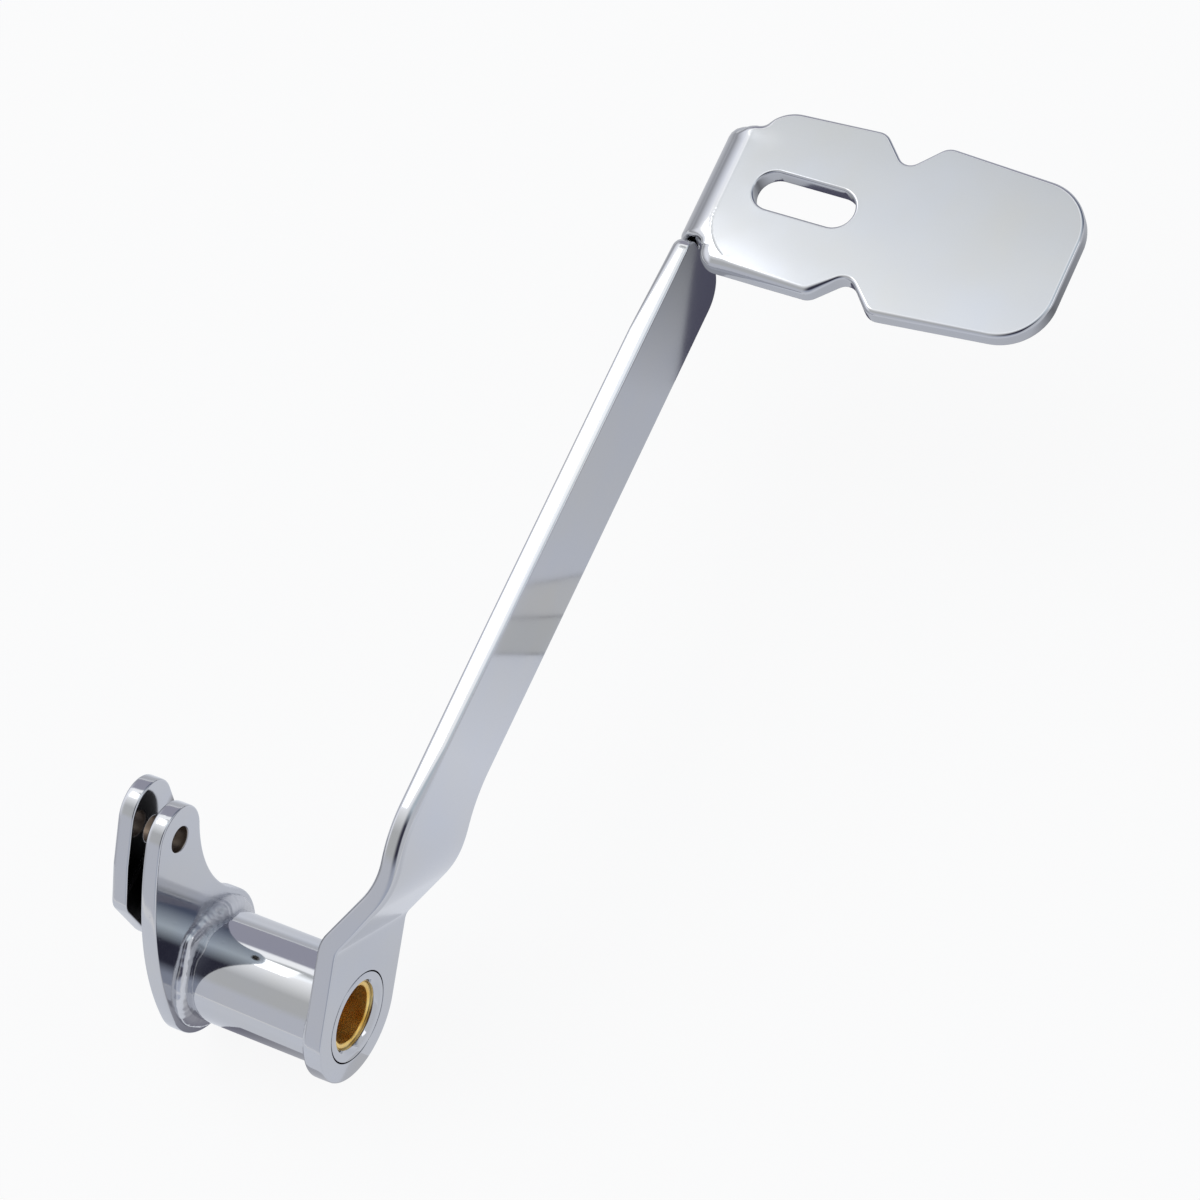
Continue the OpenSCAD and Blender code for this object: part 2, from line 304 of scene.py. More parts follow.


# Painted shade on the card: light under the blade, a painted shadow where the pad stands over it
table_painted_shade = ((-0.1, 0.86), (0.02, 0.78), (0.08, 0.92), (0.14, 0.72), (0.195, 0.66),
               (0.25, 0.22), (0.3, 0.60), (0.4, 0.72))
card("painted shade card", [(-700, -800), (900, -800), (900, 700), (-700, 700)], -20.3,
     shaded("X", *((x, (g * 0.96, g * 0.99, g * 1.06)) for x, g in table_painted_shade)))
# A glowing card that darkens away from the part: a painted reflection of a long table behind
card("long table behind", [(160, -5), (330, -5), (2700, 5900), (1250, 5900)], -20.2,
     shaded("Y", (-0.02, (0.72, 0.73, 0.76)), (0.45, (0.50, 0.51, 0.54))))
# Painted shadow of the pad: a dark glowing card where the pad stands over the table
card("painted pad shadow card", [(201, -55.9), (262, -74.8), (262, -30), (201, -30)], -20.1,
     (0.105, 0.105, 0.15))
# Painted shadow under the tube, darkest towards the clevis plate
card("painted tube shadow card", [(-40, -30), (-5, -30), (-5, 19.5), (-40, 19.5)], -20.1,
     shaded("Y", (-0.022, (0.64, 0.65, 0.68)), (0.018, (0.24, 0.24, 0.29))))
# Two small cards beside each other, and their thin edges, show as painted reflections half-way up
# the blade
NEAR, FAR, THIN = -72, -56, 0.25
card("light card", [(121.2, NEAR), (127.6, FAR), (140.6, FAR), (131.4, NEAR)], -20.1,
     (0.66, 0.665, 0.665))
card("middle card", [(110.1, NEAR), (115.5, FAR), (127.2, FAR), (120.8, NEAR)], -20.0,
     (0.60, 0.61, 0.61))
for k, (x0, x1) in enumerate(((109.9, 115.3), (120.9, 127.3), (131.2, 140.4))):
    strip = [(x0 - THIN, NEAR), (x1 - THIN, FAR), (x1 + THIN, FAR), (x0 + THIN, NEAR)]
    card(f"thin dark card {k}", strip, -19.9, (0.2, 0.2, 0.22))

# %% [markdown]
# ## Outlines
# Every plate of the pedal starts as an outline with round corners. A corner is written as its
# sharp point, its radius, and how far the polisher rounded the two edges of the plate there.
# Millimetres are easier to read than metres, so all sizes are turned to metres at the very end.

# %% Outline helpers
STEP = 0.8                    # longest step along an outline, in mm
DOUBLED = 1e-4                # points closer than this are one point


def rounded(corners):
    """An outline [x, y, near edge, far edge] from corners [x, y, radius, near edge, far edge]."""
    c = np.array(corners, float)
    rows = []
    for before, at, after in zip(np.roll(c, 1, 0), c, np.roll(c, -1, 0)):
        if at[2] == 0:
            rows.append([*at[:2], *at[3:]])
            continue
        a, b = before[:2] - at[:2], after[:2] - at[:2]
        a, b = a / np.linalg.norm(a), b / np.linalg.norm(b)
        half = np.arccos(a @ b) / 2
        centre = at[:2] + (a + b) / np.linalg.norm(a + b) * at[2] / np.sin(half)
        reach = at[2] / np.tan(half)
        p, q = at[:2] + a * reach - centre, at[:2] + b * reach - centre
        start, stop = np.arctan2(p[1], p[0]), np.arctan2(q[1], q[0])
        stop = start + (stop - start + np.pi) % (2 * np.pi) - np.pi
        count = max(4, math.ceil(abs(stop - start) * at[2] / STEP))
        for angle in np.linspace(start, stop, count + 1):
            rows.append([centre[0] + at[2] * np.cos(angle), centre[1] + at[2] * np.sin(angle),
                         *at[3:]])
    return walk(np.array(rows))


def walk(rows):
    """Adds points along the straight stretches, and drops doubled ones."""
    points = []
    for p, q in zip(rows, np.roll(rows, -1, 0)):
        length = np.linalg.norm(q[:2] - p[:2])
        if length < DOUBLED:
            continue
        steps = max(1, math.ceil(length / STEP))
        points += [p + (q - p) * k / steps for k in range(steps)]
    return np.array(points)


def ring(x, y, radius, edge, count=96):
    """A round hole, which runs clockwise so that the steel stays on its left."""
    angle = np.linspace(0, -2 * np.pi, count, endpoint=False)
    return np.column_stack([x + radius * np.cos(angle), y + radius * np.sin(angle),
                            np.full(count, edge), np.full(count, edge)])


# %% [markdown]
# ## Plates with polished edges
# A plate's faces are filled with even triangles, so that it can be bent later without kinks.
# Round its rim runs a strip of rings: a quarter circle at each edge, and between them a wall
# that swells very slightly, because a buffing wheel never leaves a ground edge quite flat.

# %% Filling an outline
ROW = 0.866                   # height of a row of even triangles, as a share of their side
RIM_GAP = 0.45                # how close a seed may come to the rim, in mm
INSIDE_ONLY, SAME = 1, 1e-6   # keep triangles inside the outline, and how near two points are one


def inside(points, loops):
    """Which points lie in the steel, by counting the outline edges to their right."""
    count = np.zeros(len(points), int)
    for loop in loops:
        a, b = loop[:, :2], np.roll(loop[:, :2], -1, 0)
        for (x0, y0), (x1, y1) in zip(a, b):
            if y0 == y1:
                continue
            hit = (points[:, 1] >= min(y0, y1)) & (points[:, 1] < max(y0, y1))
            count += hit & (points[:, 0] < x0 + (points[:, 1] - y0) * (x1 - x0) / (y1 - y0))
    return count % 2 == 1


def grid(x0, x1, y0, y1, step):
    """Points of a triangular grid that fills a box."""
    rows = []
    for k, y in enumerate(np.arange(y0, y1, step * ROW)):
        xs = np.arange(x0 + step / 2 * (k % 2), x1, step)
        rows.append(np.column_stack([xs, np.full(len(xs), y)]))
    return np.vstack(rows)


def clear_of(points, loops, distance):
    """The points that keep a distance from every outline."""
    rim = np.vstack([loop[:, :2] for loop in loops])
    keep = np.ones(len(points), bool)
    batch = 500
    for k in range(0, len(points), batch):
        part = points[k:k + batch]
        gap = ((part[:, None, :] - rim[None, :, :]) ** 2).sum(2).min(1)
        keep[k:k + batch] = gap > distance ** 2
    return points[keep]


def fill(loops, seeds):
    """Triangles over an outline with holes, and the seeds that lie in it."""
    rim = [loop[:, :2] for loop in loops]
    seeds = clear_of(seeds[inside(seeds, loops)], loops, RIM_GAP)
    verts = np.vstack(rim + [seeds])
    edges, start = [], 0
    for loop in rim:
        n = len(loop)
        edges += [(start + k, start + (k + 1) % n) for k in range(n)]
        start += n
    found = geometry.delaunay_2d_cdt([Vector(v) for v in verts], edges, [], INSIDE_ONLY, SAME)
    index = [source[0] for source in found[3]]
    faces = np.array([[index[k] for k in face] for face in found[2]])
    faces = faces[inside(verts[faces].mean(1), loops)]
    a, b, c = (verts[faces[:, k]] for k in range(3))
    side = np.cross(b - a, c - a)
    faces[side < 0] = faces[side < 0][:, ::-1]
    return seeds, faces


# %% Plate mesh
CAP_INSET = 0.12              # the last ring lies on the face, so that the face shades flat
CROWN = 0.06                  # how far the middle of a wall stands out
TURNS = 5                     # steps round a polished edge


def plate(name, loops, thickness, place, seeds, crown=CROWN):
    """A closed plate. place(x, y, w) puts a point at depth w of the flat plate where it belongs."""
    quarter = np.linspace(0, np.pi / 2, TURNS + 1)
    rims, start = [], 0
    for loop in loops:
        p = loop[:, :2]
        along = np.roll(p, -1, 0) - np.roll(p, 1, 0)
        along /= np.linalg.norm(along, axis=1)[:, None]
        outward = np.column_stack([along[:, 1], -along[:, 0]])
        near, far = loop[:, 2], loop[:, 3]
        rings = [(near + CAP_INSET, 0 * near)]
        rings += [(near * (1 - np.sin(a)), near * (1 - np.cos(a))) for a in quarter]
        for share in (0.25, 0.5, 0.75):
            rings.append((0 * near, near + (thickness - near - far) * share))
        rings += [(far * (1 - np.sin(a)), thickness - far * (1 - np.cos(a)))
                  for a in quarter[::-1]]
        rings.append((far + CAP_INSET, thickness + 0 * far))
        laid = []
        for inset, depth in rings:
            swell = crown * (2 * depth / thickness - 1) ** 2
            xy = p - outward * (inset + swell)[:, None]
            laid.append(np.column_stack([xy, depth]))
        rims.append(laid)
    verts, faces = [], []
    for laid in rims:
        n, m = len(laid[0]), len(laid)
        verts += laid
        for r in range(m - 1):
            for k in range(n):
                a, b = start + r * n + k, start + r * n + (k + 1) % n
                faces.append((a, b, b + n, a + n))
        start += n * m
    for level, flip in ((0, True), (-1, False)):
        loops_here = [laid[level][:, :2] for laid in rims]
        inner, cap = fill(loops_here, seeds)
        lookup, base = [], 0
        for laid in rims:
            n, m = len(laid[0]), len(laid)
            first = base + (0 if level == 0 else (m - 1) * n)
            lookup += list(range(first, first + n))
            base += n * m
        lookup += list(range(start, start + len(inner)))
        depth = 0.0 if level == 0 else thickness
        verts.append(np.column_stack([inner, np.full(len(inner), depth)]))
        start += len(inner)
        for face in cap:
            face = [lookup[k] for k in face]
            faces.append(tuple(face[::-1] if flip else face))
    flat = np.vstack(verts)
    # Depth runs along +Y while the outline stands in XZ, so the faces are turned round
    return mesh_piece(name, place(*flat.T), [face[::-1] for face in faces])


def mesh_piece(name, points, faces):
    """A smooth-shaded mesh object at the origin, from points in mm."""
    mesh = bpy.data.meshes.new(name)
    mesh.from_pydata((np.asarray(points) * MM).tolist(), [], faces)
    mesh.validate()
    mesh.shade_smooth()
    obj = bpy.data.objects.new(name, mesh)
    scene.collection.objects.link(obj)
    return obj


def report(obj):
    """Prints a piece's size and whether it is closed with its faces outwards."""
    b = bmesh.new()
    b.from_mesh(obj.data)
    loose = sum(not e.is_manifold for e in b.edges)
    volume = b.calc_volume(signed=True) / MM ** 3
    b.free()
    size = [round(d / MM, 1) for d in obj.dimensions]
    print(f"{obj.name}: {len(obj.data.polygons)} faces, {size} mm, {volume:.0f} mm3, "
          f"open edges {loose}")


# %% [markdown]
# ## The lever's blank
# The lever was one flat blank: eye, arm, blade and tongue, with the foot pad beyond the fold.
# Its outline is drawn as it lay on the steel, so the pad is measured on past the fold line. A
# narrow slit lets the pad fold over while the blade beside it stays flat.

# %% Lever sizes
PLATE = 5.5
EYE_FACE = -24.5
RISE = math.radians(38.2)
BLADE_LOW, BLADE_TOP = 22.0, 51.94
BLADE_Y = -13.44
FOLD_X0, FOLD_X1 = 214.8, 249.8
FOLD_IN = 3.3
PAD_TOP = 54.4
PAD_X0, PAD_X1, PAD_END = 207.3, 257.2, -112.4
NOTCH_DEPTH, NOTCH_R = 7.2, 3.5
NOTCH_REAR, NOTCH_FRONT = -58.5, -60.3
TONGUE_X, TONGUE_Z = 217, 37
FOLD_Z = PAD_TOP - FOLD_IN - PLATE
FOLD_Y = BLADE_Y - FOLD_IN
ROUND = (FOLD_IN + PLATE / 2) * math.pi / 2        # length of the fold along the plate's middle
along = np.array([math.cos(RISE), math.sin(RISE)])
across = np.array([-math.sin(RISE), math.cos(RISE)])


def on_pad(x, y, *rest):
    """A corner of the pad, given where it lies after folding."""
    return [x, FOLD_Z + ROUND + FOLD_Y - y, *rest]


# %% Lever outline
EYE_R = 18.3
low_u = (BLADE_LOW + EYE_R * along[0]) / along[1]
high_u = (BLADE_TOP - EYE_R * along[0]) / along[1]
lower_turn = low_u * along - EYE_R * across
upper_turn = high_u * along + EYE_R * across
sharp = NOTCH_DEPTH + NOTCH_R * (math.sqrt(2) - 1)      # how deep the notch's sharp point lies
slit = 0.14
blank = rounded([
    [*(-EYE_R * along + EYE_R * across), EYE_R, 0.45, 0.7],
    [*(-EYE_R * along - EYE_R * across), EYE_R, 0.45, 0.7],
    [*lower_turn, 30, 0.7, 0.9],
    [TONGUE_X, BLADE_LOW, 9, 0.7, 0.9],
    [TONGUE_X, TONGUE_Z, 6, 0.7, 0.9],
    [FOLD_X1, TONGUE_Z, 5, 0.7, 1.6],
    [FOLD_X1, FOLD_Z - 1, 0, 0.8, 3.6],
    [FOLD_X1, FOLD_Z + ROUND - 2.5, 0, 0.8, 3.8],
    on_pad(FOLD_X1, FOLD_Y - 1.6, 3.2, 0.7, 1.6),
    on_pad(255.8, FOLD_Y - 6.6, 10, 0.7, 0.9),
    on_pad(PAD_X1, NOTCH_FRONT + sharp, 4.5, 0.7, 0.7),
    on_pad(PAD_X1 - sharp, NOTCH_FRONT, NOTCH_R, 0.7, 0.7),
    on_pad(257.9, NOTCH_FRONT - sharp, 4.5, 0.7, 0.7),
    on_pad(255.7, PAD_END, 14.4, 1.1, 1.0),
    on_pad(211.3, PAD_END, 14.4, 1.1, 1.0),
    on_pad(206.8, NOTCH_REAR - sharp, 4.5, 1.0, 1.3),
    on_pad(PAD_X0 + sharp, NOTCH_REAR, NOTCH_R, 0.7, 0.9),
    on_pad(PAD_X0, NOTCH_REAR + sharp, 4.5, 0.9, 1.7),
    on_pad(PAD_X0, -34, 0, 0.7, 2.4),
    on_pad(PAD_X0, FOLD_Y, 5.4, 0.7, 2.8),
    on_pad(FOLD_X0 + slit, FOLD_Y, 2.2, 0.6, 1.2),
    [FOLD_X0 + slit, FOLD_Z + 1, 0, 0.5, 0.8],
    [FOLD_X0 + slit, FOLD_Z + 0.1, 0.13, 0.3, 0.3],
    [FOLD_X0 - slit, FOLD_Z + 0.1, 0.13, 0.3, 0.3],
    [FOLD_X0 - slit, BLADE_TOP, 3.4, 0.5, 2.9],
    [207, BLADE_TOP, 0, 0.6, 2.6],
    [185, BLADE_TOP, 0, 0.6, 0.7],
    [95, BLADE_TOP, 0, 0.6, 0.7],
    [62, BLADE_TOP, 0, 0.9, 1.0],
    [*upper_turn, 26, 2.3, 1.2],
    [*(30 * along + EYE_R * across), 0, 0.7, 0.8],
    [*(12 * along + EYE_R * across), 0, 0.5, 0.7],
])
print("lever outline:", len(blank), "points")

# %% [markdown]
# ## Bending the lever
# Two bends across the arm step the blade outboard of the eye, and the fold turns the pad through
# a right angle. Each is one formula on the points of the flat plate. Edge points and face points
# bend alike, so the rounded edge follows the bend as it does on real bent steel.

# %% Bend lines
JOGGLE = math.radians(32.4)
FIRST_R, SECOND_R = 5.0, 22.5
FIRST_U = 24.2
second_u = FIRST_U - BLADE_Y / math.tan(JOGGLE)


def edge_line(depth):
    """The arm seen on its edge, at a depth from its outboard face: [along the arm, y]."""
    half = math.tan(JOGGLE / 2)
    a = np.linspace(math.pi / 2, math.pi / 2 - JOGGLE, 13)
    b = np.linspace(1.5 * math.pi - JOGGLE, 1.5 * math.pi, 13)
    r1, r2 = FIRST_R + depth, SECOND_R + PLATE - depth
    first = np.column_stack([FIRST_U - FIRST_R * half + r1 * np.cos(a), -FIRST_R + r1 * np.sin(a)])
    outer = SECOND_R + PLATE
    second = np.column_stack([second_u + outer * half + r2 * np.cos(b),
                              BLADE_Y + outer + r2 * np.sin(b)])
    return np.vstack([[[-60, depth]], first, second, [[400, BLADE_Y + depth]]])


SHORT = math.radians(7)       # how far the fold's outside stops short of square
SPREAD = 0.018                # how much the fold's outside swells
LEAN = 0.10                   # slope of the polished border
LIP, LIP_WIDTH = 0.03, 0.3    # the fine lip between the border and the flat
FLAT_X, FLAT_Y, FLAT_R = 209.2, FOLD_Y, 13.5
HEEL_FROM = FOLD_Z + ROUND - 2.3                       # here the pad begins behind the fold
FRONT_FADE, SIDE_FADE = (248.5, 244.5), (-38, -26)     # the border's shape dies out over these
HEEL_FADE = (FLAT_Y - 9.5, FLAT_Y - 5.5)


def step(value, low, high):
    """A soft step from 0 at low to 1 at high."""
    k = np.clip((value - low) / (high - low), 0, 1)
    return k * k * (3 - 2 * k)


def off_flat(x, y):
    """How far a point of the pad lies outside its flat, whose heel corner is round."""
    a, b = FLAT_X + FLAT_R - x, y - FLAT_Y + FLAT_R
    far = np.hypot(np.maximum(a, 0), np.maximum(b, 0))
    return far - FLAT_R + np.minimum(np.maximum(a, b), 0)


def bend(x, s, w):
    """Where a point of the blank goes: x along the blade, s up the blank, w through the steel."""
    u = x * along[0] + s * along[1]
    outer, inner = edge_line(0.0), edge_line(PLATE)
    y0, y1 = np.interp(u, *outer.T), np.interp(u, *inner.T)
    y, z = y0 + (y1 - y0) * w / PLATE, s.copy()
    turned = ((x > FOLD_X0) | (s > HEEL_FROM)) & (s > FOLD_Z)
    a = np.clip((s - FOLD_Z) / ROUND, 0, 1) * math.pi / 2
    beyond = np.maximum(s - FOLD_Z - ROUND, 0)
    r = FOLD_IN + w * (1 + SPREAD * np.sin(a) ** 2)
    # The fold's outside stops a little short of square, which leaves a fine line beside the pad
    short = SHORT * (w / PLATE) ** 2 * step(x, *FRONT_FADE)
    share = (a / (math.pi / 2)) ** 2
    b = a * (1 - short / (math.pi / 2))
    y = np.where(turned, FOLD_Y + r * (np.cos(b) - np.sin(short) * share) - beyond, y)
    top = FOLD_Z + r * (np.sin(b) + (1 - np.cos(short)) * share)
    z = np.where(turned, np.minimum(top, PAD_TOP), z)
    # Outside the flat of the pad the polisher leaned off it, at the heel and beside the fold
    outside = np.maximum(off_flat(x, y), 0)
    fade = step(x, *FRONT_FADE) * step(y, *SIDE_FADE) * (w / PLATE) ** 4
    lip = LIP * np.clip(np.abs(off_flat(x, y)) / LIP_WIDTH, 0, 1) * fade * step(y, *HEEL_FADE)
    lean = FOLD_Z + FOLD_IN + w - LEAN * outside * fade
    z = np.where(turned, np.minimum(z, lean), z) - np.where(turned, lip, 0)
    return np.column_stack([x, y + EYE_FACE, z])


# %% [markdown]
# The flat stretches need few points inside the outline. The bends, the fold and the pad's heel need
# many, or their reflections would show facets. So each gets its own grid, at its own distance.

# %% Lever mesh
WIDE, AT_BEND, AT_FOLD, AT_HEEL = 2.4, 0.7, 0.6, 0.33       # from point to point, in mm
wide, fine = grid(-20, 260, -20, 175, WIDE), grid(-10, 90, -30, 80, AT_BEND)
u = fine @ along
fine = fine[((u > FIRST_U - 4) & (u < FIRST_U + 5)) | ((u > second_u - 10) & (u < second_u + 10))]
folded = grid(FOLD_X0, FOLD_X1, FOLD_Z - 1, FOLD_Z + ROUND + 1, AT_FOLD)
u, (x, s) = wide @ along, wide.T
busy = (u > FIRST_U - 5) & (u < second_u + 11)
busy |= (x > FOLD_X0 - 1) & (s > FOLD_Z - 2) & (s < FOLD_Z + ROUND + 2)
seeds = [wide[~busy], fine, folded]
# Close rows of points follow the border of the flat, so that its line stays crisp
border = []
for gap in (-1.3, -0.8, -0.3, 0.0, 0.3, 0.8):
    turn_round = np.radians(np.linspace(180, 90, 44))
    bow_x = FLAT_X + FLAT_R + (FLAT_R + gap) * np.cos(turn_round)
    bow_y = FLAT_Y - FLAT_R + (FLAT_R + gap) * np.sin(turn_round)
    run_x = np.arange(FLAT_X + FLAT_R + 0.5, 248, 0.5)
    run_y = np.full(len(run_x), FLAT_Y + gap)
    border.append(np.column_stack([np.r_[bow_x, run_x],
                                   FOLD_Z + ROUND + FOLD_Y - np.r_[bow_y, run_y]]))
border = np.vstack(border)
# The heel's corner has the most shape in the least room, so it gets the closest points
heel = grid(FOLD_X0 + 0.4, FOLD_X0 + 9, FOLD_Z + 3, FOLD_Z + ROUND + 5, AT_HEEL)
heel = clear_of(heel, [border], 0.2)
seeds = clear_of(np.vstack(seeds), [border, heel], 0.3)
seeds = np.vstack([seeds, border, heel])
SLOT_W, SLOT_L, SLOT_R = 5.52, 14.32, 5.5                   # half its width and length, its corners
EYE_HOLE_R = 12.85
slot_x, slot_s = on_pad(232.55, -38.26)
slot_hole = rounded([[slot_x + a * SLOT_W, slot_s + b * SLOT_L, SLOT_R, 0.5, 0.6]
                     for a, b in ((-1, -1), (-1, 1), (1, 1), (1, -1))])
eye_hole = ring(0, 0, EYE_HOLE_R, 0.2, 128)
lever = plate("lever_formed", [blank, eye_hole, slot_hole], PLATE, bend, seeds)
report(lever)

# %% [markdown]
# ## Clevis plates
# Two flat plates carry the brake rod's pin. Their outlines are arcs that run into each other, which
# is how a fabricator lays them out with a compass: a hub, a lug, a bowed back, a waisted front.

# %% Clevis plate
PIN = np.array([17.3, 48.06])
HUB_R, LUG_R, BOW_R, WAIST_R = 20.3, 9.3, 90.0, 37.7
PIN_R, HUB_HOLE_R = 3.5, 12.72
CLEVIS_PLATE, CLEVIS_GRID = 4.5, 1.6
PLATE_Y, GAP_Y, EAR_Y = 20.0, 24.5, 28.7            # the front of the plate, the gap and the ear


def beside_pin(r0, r1):
    """The point on the pad's side that lies r0 from the pivot and r1 from the pin."""
    d = np.linalg.norm(PIN)
    run = (r0 ** 2 - r1 ** 2 + d ** 2) / (2 * d)
    off = math.sqrt(r0 ** 2 - run ** 2)
    way = PIN / d
    return run * way + off * np.array([way[1], -way[0]])


def arc(centre, radius, start, stop, *rest):
    """Points on an arc between two angles in degrees, taken the short way round from start."""
    count = max(3, math.ceil(abs(math.radians(stop - start)) * radius / STEP))
    a = np.radians(np.linspace(start, stop, count + 1))
    xy = np.column_stack([centre[0] + radius * np.cos(a), centre[1] + radius * np.sin(a)])
    return np.column_stack([xy, np.tile(rest, (len(xy), 1))])


def angle(v, near=0.0):
    """The direction of v in degrees, as the turn nearest to the one given."""
    a = math.degrees(math.atan2(v[1], v[0]))
    return near + (a - near + 180) % 360 - 180


bow = beside_pin(BOW_R - HUB_R, BOW_R - LUG_R)
waist = beside_pin(WAIST_R + HUB_R, WAIST_R + LUG_R)
edge = (0.5, 0.5)
plate_outline = walk(np.vstack([
    arc((0, 0), HUB_R, angle(-bow, 180), angle(waist, 360), *edge),
    arc(waist, WAIST_R, angle(-waist, 180), angle(PIN - waist, 180), *edge),
    arc(PIN, LUG_R, angle(waist - PIN), angle(PIN - bow, 180), *edge),
    arc(bow, BOW_R, angle(PIN - bow, 180), angle(-bow, 180), *edge),
]))


def upright(y):
    """Stands a flat plate up in the XZ plane, from y inboard."""
    return lambda x, z, w: np.column_stack([x, y + w, z])


pin_hole, hub_hole = ring(*PIN, PIN_R, 0.35, 64), ring(0, 0, HUB_HOLE_R, 0.3, 128)
clevis_plate = plate("clevis_front_plate", [plate_outline, hub_hole, pin_hole], CLEVIS_PLATE,
                     upright(PLATE_Y), grid(-25, 32, -25, 60, CLEVIS_GRID))
report(clevis_plate)


# %% Clevis ear
def belt(discs, *rest):
    """A belt pulled round discs [x, z, radius] that are listed counterclockwise."""
    rows, n = [], len(discs)

    def leave(p, q):
        v = np.array(q[:2]) - np.array(p[:2])
        return angle(v) - math.degrees(math.acos((p[2] - q[2]) / np.linalg.norm(v)))

    for k in range(n):
        start, stop = leave(discs[k - 1], discs[k]), leave(discs[k], discs[(k + 1) % n])
        rows.append(arc(discs[k][:2], discs[k][2], start, start + (stop - start) % 360, *rest))
    return walk(np.vstack(rows))


ear_outline = belt([(8.5, 24, 12.4), (20.6, 51.8, 8.95), (8.7, 46.3, 5.2), (1.5, 38.6, 5)], *edge)
clevis_ear = plate("clevis_back_ear", [ear_outline, pin_hole], CLEVIS_PLATE, upright(EAR_Y),
                   grid(-12, 32, 8, 64, CLEVIS_GRID))
report(clevis_ear)

# %% [markdown]
# ## Turned pieces
# The pivot tube, its bushings and the slug between the clevis plates came off a lathe. Each is a
# profile that is turned round the pivot's axis. The tube steps down at both ends, so that the eye
# and the clevis plate slip over it.

# %% Turned pieces
TUBE_R, SPIGOT_R, SEAT_R, BORE_R = 15.45, 12.7, 9.525, 7.9375
SLEEVE = 19.05                # a bushing's length
SLUG_AT, SLUG_R, SLUG_LENGTH = (7.5, 22), 9.0, 4.2


def soften(profile, size=0.15, turns=3):
    """Rounds each corner of a closed profile [radius, y, optional size]."""
    c = np.array([[*p[:2], p[2] if len(p) > 2 else size] for p in profile], float)
    rows = []
    for before, at, after in zip(np.roll(c, 1, 0), c, np.roll(c, -1, 0)):
        a, b = before[:2] - at[:2], after[:2] - at[:2]
        la, lb = np.linalg.norm(a), np.linalg.norm(b)
        reach = min(at[2], la * 0.45, lb * 0.45)
        for k in np.linspace(0, 1, turns + 1):
            p, q = at[:2] + a / la * reach, at[:2] + b / lb * reach
            rows.append((1 - k) ** 2 * p + 2 * k * (1 - k) * at[:2] + k ** 2 * q)
    return np.array(rows)


def turned(name, profile, count=160):
    """Turns a closed profile [radius, y] round the pivot's axis."""
    p = soften(profile)
    n = len(p)
    a = np.linspace(0, 2 * np.pi, count, endpoint=False)
    points = np.stack([
        p[None, :, 0] * np.sin(a)[:, None],
        np.repeat(p[None, :, 1], count, 0),
        p[None, :, 0] * np.cos(a)[:, None]], 2).reshape(-1, 3)
    faces = [(i * n + k, i * n + (k + 1) % n, j * n + (k + 1) % n, j * n + k)
             for i, j in zip(range(count), [*range(1, count), 0]) for k in range(n)]
    area = np.sum(p[:, 0] * np.roll(p[:, 1], -1) - np.roll(p[:, 0], -1) * p[:, 1])
    if area > 0:
        faces = [face[::-1] for face in faces]
    return mesh_piece(name, points, faces)


tube = turned("pivot_tube_turned", [
    (SEAT_R, -23.4, 0.1), (10.6, -24.5, 0.3), (12.55, -24.5, 0.25), (12.55, -22.6, 0.1),
    (SPIGOT_R, -22.4, 0.1), (SPIGOT_R, -19, 0.1), (TUBE_R, -19, 0.3), (TUBE_R, 0),
    (TUBE_R, PLATE_Y, 0.3), (SPIGOT_R, PLATE_Y, 0.1), (SPIGOT_R, GAP_Y, 0.35), (10.4, GAP_Y, 0.25),
    (SEAT_R, 23.6, 0.1), (SEAT_R, 0)])
bushings = [
    turned(f"bushing_{side}_sleeve", [
        (BORE_R, y + 0.4, 0.15), (8.34, y, 0.15), (9.125, y, 0.1), (SEAT_R, y + 0.4, 0.1),
        (SEAT_R, y + 18.65, 0.1), (9.125, y + SLEEVE, 0.1), (8.34, y + SLEEVE, 0.15),
        (BORE_R, y + 18.65, 0.15)])
    for side, y in (("outboard", -22.75), ("inboard", 3.7))]
spacer = plate("clevis_slug", [ring(*SLUG_AT, SLUG_R, 0.1, 72)[::-1]], SLUG_LENGTH, upright(GAP_Y),
               grid(-2, 17, 12, 32, CLEVIS_GRID), crown=0)
for piece in [tube, *bushings, spacer]:
    report(piece)

# %% [markdown]
# ## Weld beads
# A bead follows a path and repeats: each ripple is one pulse of the torch. That is a job for
# Geometry Nodes. An ellipse is swept along a ring or an arc, then the surface is pushed in and out
# by ripples that lean along the weld and by a lumpier noise, and one tree makes all three beads.

# %% Bead tree
BEAD_SIZES = {
    "Ring radius": 0.01545, "Start": -math.pi, "Sweep": 2 * math.pi, "Leg out": 0.0029,
    "Leg along": 0.0024, "Ripples": 60.0, "Ripple height": 0.00005, "Lump height": 0.0002,
    "Seed": 1.0, "Mound": 0.0, "Splash": 0.0, "Crater": 0.0}
AROUND, ALONG = 48, 720       # points round the bead and along it
MERGE = 1e-6                  # metres
CRATER_TURN, CRATER_ROUND = 0.60, 0.75              # where it is, in radians along and round
PER_TURN, PER_ROUND = 0.0172, 0.0034                # metres that such a radian stands for
CRATER_RING, CRATER_R, PIT_R = 0.0013, 0.0036, 0.0007


